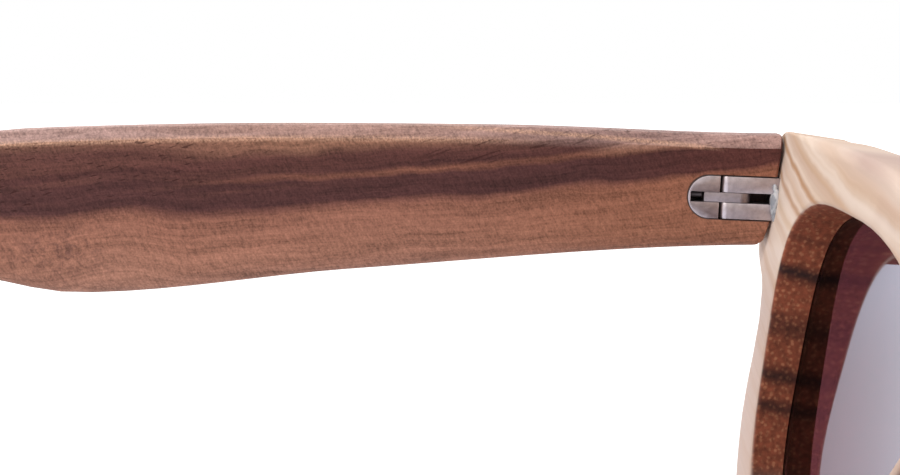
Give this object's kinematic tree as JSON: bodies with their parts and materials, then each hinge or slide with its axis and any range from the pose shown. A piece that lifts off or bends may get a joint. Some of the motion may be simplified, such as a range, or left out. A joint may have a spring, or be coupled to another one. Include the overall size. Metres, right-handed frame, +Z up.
{
  "type": "wooden sunglasses",
  "caption": "Wooden sunglasses with a solid pale front, brown bent temples on inlaid steel spring hinges, and dark curved lenses.",
  "frame": {"origin": "middle of the glasses on the surface that they stand on, open, on the rims and the tips of the temples", "axes": "+Z up, the front faces -Y, the temples run to +Y, the wearer's left is +X"},
  "size_m": [0.1382, 0.1462, 0.0497],
  "materials": {
    "front_wood": "oiled pale striped wood",
    "temple_wood": "oiled red-brown wood",
    "lens": "polished dark tint",
    "steel": "satin",
    "spring_steel": "drawn wire"
  },
  "bodies": {
    "front": {"front_frame": "front_wood", "lens_left": "lens", "lens_right": "lens", "hinge_leaf_left": "steel", "hinge_screw_left": "steel", "hinge_leaf_right": "steel", "hinge_screw_right": "steel"},
    "left_slider": {"hinge_slider_left": "steel", "hinge_stop_left": "steel"},
    "left_temple": {"temple_left": "temple_wood", "hinge_housing_left": "steel", "hinge_spring_left": "spring_steel"},
    "right_slider": {"hinge_slider_right": "steel", "hinge_stop_right": "steel"},
    "right_temple": {"temple_right": "temple_wood", "hinge_housing_right": "steel", "hinge_spring_right": "spring_steel"}
  },
  "joints": [
    {"name": "left_fold", "type": "hinge", "parent": "front", "child": "left_slider", "pos_m": [0.0652, -0.05929, 0.04199], "axis": [0, -0.0419, 0.9991], "range_deg": [0, 88]},
    {"name": "left_flex", "type": "slide", "parent": "left_slider", "child": "left_temple", "axis": [0, 0.9991, 0.0419], "range_m": [0, 0.001], "stiffness_N_per_m": 1500, "springref_m": -0.003, "deforming": ["hinge_spring_left"]},
    {"name": "right_fold", "type": "hinge", "parent": "front", "child": "right_slider", "pos_m": [-0.0652, -0.05929, 0.04199], "axis": [0, 0.0419, -0.9991], "range_deg": [0, 76]},
    {"name": "right_flex", "type": "slide", "parent": "right_slider", "child": "right_temple", "axis": [0, 0.9991, 0.0419], "range_m": [0, 0.001], "stiffness_N_per_m": 1500, "springref_m": -0.003, "deforming": ["hinge_spring_right"]}
  ]
}
